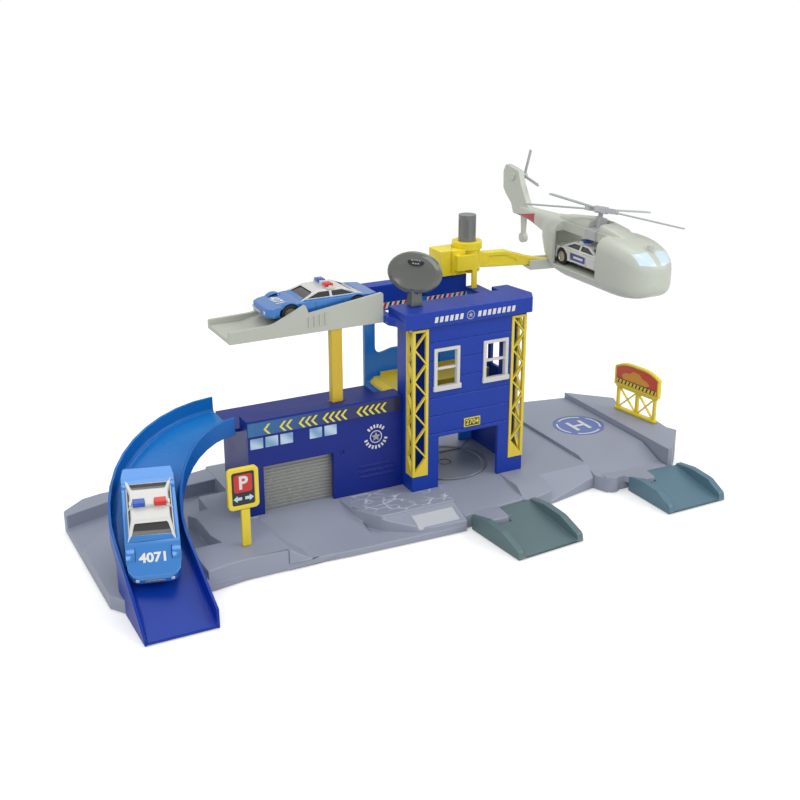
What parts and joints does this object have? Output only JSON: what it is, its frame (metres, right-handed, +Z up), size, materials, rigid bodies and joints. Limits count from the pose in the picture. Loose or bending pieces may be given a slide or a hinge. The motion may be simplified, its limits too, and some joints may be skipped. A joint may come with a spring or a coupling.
{
  "type": "toy police station playset",
  "caption": "Toy police station for small die-cast cars: trays, garage with rolling door, tower with car lift, crane, helicopter, launch ramp and curved slide.",
  "frame": {"origin": "on the floor, under the front left corner of the tower", "axes": "+X to the right along the tower's front, +Y to the rear, +Z up"},
  "size_m": [0.3916, 0.2115, 0.1952],
  "materials": {
    "blue_plastic": "satin",
    "grey_plastic": "satin",
    "teal_plastic": "satin",
    "turntable_plastic": "satin",
    "yellow_plastic": "satin",
    "beige_plastic": "satin",
    "heli_plastic": "satin",
    "clear_blue": "polished",
    "door_silver": "satin",
    "smoked_plastic": "polished",
    "rotor_grey": "satin",
    "pane_pale": "polished",
    "panel_red": "satin",
    "ramp_car_paint": "polished",
    "slide_car_paint": "polished",
    "helicopter_car_paint": "polished",
    "car_glass": "polished",
    "light_bar_plastic": "polished",
    "wheel_black": "satin",
    "chassis_black": "satin"
  },
  "bodies": {
    "playset": {"base_left": "grey_plastic", "base_centre": "grey_plastic", "base_right": "grey_plastic", "garage_front_wall": "blue_plastic", "garage_end_wall": "blue_plastic", "garage_roof": "blue_plastic", "door_guides": "blue_plastic", "tower_walls": "blue_plastic", "window_frames": "beige_plastic", "number_plate": "yellow_plastic", "left_corner_truss": "yellow_plastic", "right_corner_truss": "yellow_plastic", "tower_roof": "blue_plastic", "lift_shaft": "clear_blue", "launch_ramp": "beige_plastic", "ramp_column": "yellow_plastic", "slide_floor": "clear_blue", "slide_outer_wall": "clear_blue", "slide_inner_wall": "clear_blue", "crane_mount": "yellow_plastic", "crane_post": "smoked_plastic", "parking_sign": "yellow_plastic", "billboard_frame": "yellow_plastic", "billboard_panel": "panel_red"},
    "turntable": {"turntable": "turntable_plastic"},
    "roller_door": {"roller_door": "door_silver"},
    "lift_tray": {"lift_tray": "yellow_plastic"},
    "crane": {"crane_arm": "yellow_plastic"},
    "helicopter": {"helicopter_hull": "heli_plastic", "windscreen": "pane_pale", "helicopter_floor": "heli_plastic", "helicopter_tail": "heli_plastic", "tail_wheel": "heli_plastic", "rotor_mast": "rotor_grey"},
    "main_rotor": {"main_rotor": "rotor_grey"},
    "tail_rotor": {"tail_rotor": "rotor_grey"},
    "dish": {"dish": "smoked_plastic"},
    "exit_ramp_front": {"exit_ramp_front": "teal_plastic"},
    "exit_ramp_side": {"exit_ramp_side": "teal_plastic"},
    "ramp_car": {"ramp_car_body": "ramp_car_paint", "ramp_car_glazing": "car_glass", "ramp_car_chassis": "chassis_black", "ramp_car_light_bar": "light_bar_plastic"},
    "ramp_car_front_axle": {"ramp_car_front_axle": "wheel_black"},
    "ramp_car_rear_axle": {"ramp_car_rear_axle": "wheel_black"},
    "slide_car": {"slide_car_body": "slide_car_paint", "slide_car_glazing": "car_glass", "slide_car_chassis": "chassis_black", "slide_car_light_bar": "light_bar_plastic"},
    "slide_car_front_axle": {"slide_car_front_axle": "wheel_black"},
    "slide_car_rear_axle": {"slide_car_rear_axle": "wheel_black"},
    "helicopter_car": {"helicopter_car_body": "helicopter_car_paint", "helicopter_car_glazing": "car_glass", "helicopter_car_chassis": "chassis_black", "helicopter_car_light_bar": "light_bar_plastic"},
    "helicopter_car_front_axle": {"helicopter_car_front_axle": "wheel_black"},
    "helicopter_car_rear_axle": {"helicopter_car_rear_axle": "wheel_black"}
  },
  "joints": [
    {"name": "turntable_spin", "type": "hinge", "parent": "playset", "child": "turntable", "pos_m": [0.039, 0.03, 0.0154], "axis": [0, 0, 1], "continuous": true},
    {"name": "roller_door_lift", "type": "slide", "parent": "playset", "child": "roller_door", "axis": [0, 0, 1], "range_m": [0, 0.024]},
    {"name": "lift_travel", "type": "slide", "parent": "playset", "child": "lift_tray", "axis": [0, 0, 1], "range_m": [0, 0.0494]},
    {"name": "crane_swing", "type": "hinge", "parent": "playset", "child": "crane", "pos_m": [0.0714, 0.062, 0.14], "axis": [0, 0, 1], "range_deg": [-28, 55]},
    {"name": "helicopter_hold", "type": "slide", "parent": "crane", "child": "helicopter", "axis": [0.9877, -0.1564, 0], "range_m": [0, 0.016]},
    {"name": "main_rotor_spin", "type": "hinge", "parent": "helicopter", "child": "main_rotor", "pos_m": [0.138, 0.012, 0.1718], "axis": [0.2273, 0.0976, 0.9689], "continuous": true},
    {"name": "tail_rotor_spin", "type": "hinge", "parent": "helicopter", "child": "tail_rotor", "pos_m": [0.1437, 0.1106, 0.1767], "axis": [1, 0, 0], "continuous": true},
    {"name": "dish_turn", "type": "hinge", "parent": "playset", "child": "dish", "pos_m": [0.0085, 0.014, 0.13], "axis": [0, 0, 1], "range_deg": [-20, 55]},
    {"name": "exit_ramp_front_lift", "type": "slide", "parent": "playset", "child": "exit_ramp_front", "axis": [0, 0, 1], "range_m": [0, 0.014]},
    {"name": "exit_ramp_side_lift", "type": "slide", "parent": "playset", "child": "exit_ramp_side", "axis": [0, 0, 1], "range_m": [0, 0.014]},
    {"name": "ramp_car_roll", "type": "slide", "parent": "playset", "child": "ramp_car", "axis": [-1, 0, 0], "range_m": [0, 0.012]},
    {"name": "slide_car_lift", "type": "slide", "parent": "playset", "child": "slide_car", "axis": [0, 0, 1], "range_m": [0, 0.02]},
    {"name": "helicopter_car_load", "type": "slide", "parent": "helicopter", "child": "helicopter_car", "axis": [1, 0, 0], "range_m": [0, 0.036]},
    {"name": "ramp_car_front_axle_spin", "type": "hinge", "parent": "ramp_car", "child": "ramp_car_front_axle", "pos_m": [-0.0662, 0.037, 0.12995], "axis": [0, 1, 0], "continuous": true},
    {"name": "slide_car_front_axle_spin", "type": "hinge", "parent": "slide_car", "child": "slide_car_front_axle", "pos_m": [-0.17099, -0.0372, 0.02899], "axis": [-0.9686, 0.2487, 0], "continuous": true},
    {"name": "helicopter_car_front_axle_spin", "type": "hinge", "parent": "helicopter_car", "child": "helicopter_car_front_axle", "pos_m": [0.138, -0.0095, 0.13955], "axis": [1, 0, 0], "continuous": true},
    {"name": "ramp_car_rear_axle_spin", "type": "hinge", "parent": "ramp_car", "child": "ramp_car_rear_axle", "pos_m": [-0.0242, 0.037, 0.12995], "axis": [0, 1, 0], "continuous": true},
    {"name": "slide_car_rear_axle_spin", "type": "hinge", "parent": "slide_car", "child": "slide_car_rear_axle", "pos_m": [-0.1619, -0.00183, 0.04974], "axis": [-0.9686, 0.2487, 0], "continuous": true},
    {"name": "helicopter_car_rear_axle_spin", "type": "hinge", "parent": "helicopter_car", "child": "helicopter_car_rear_axle", "pos_m": [0.138, 0.0325, 0.13955], "axis": [1, 0, 0], "continuous": true}
  ]
}
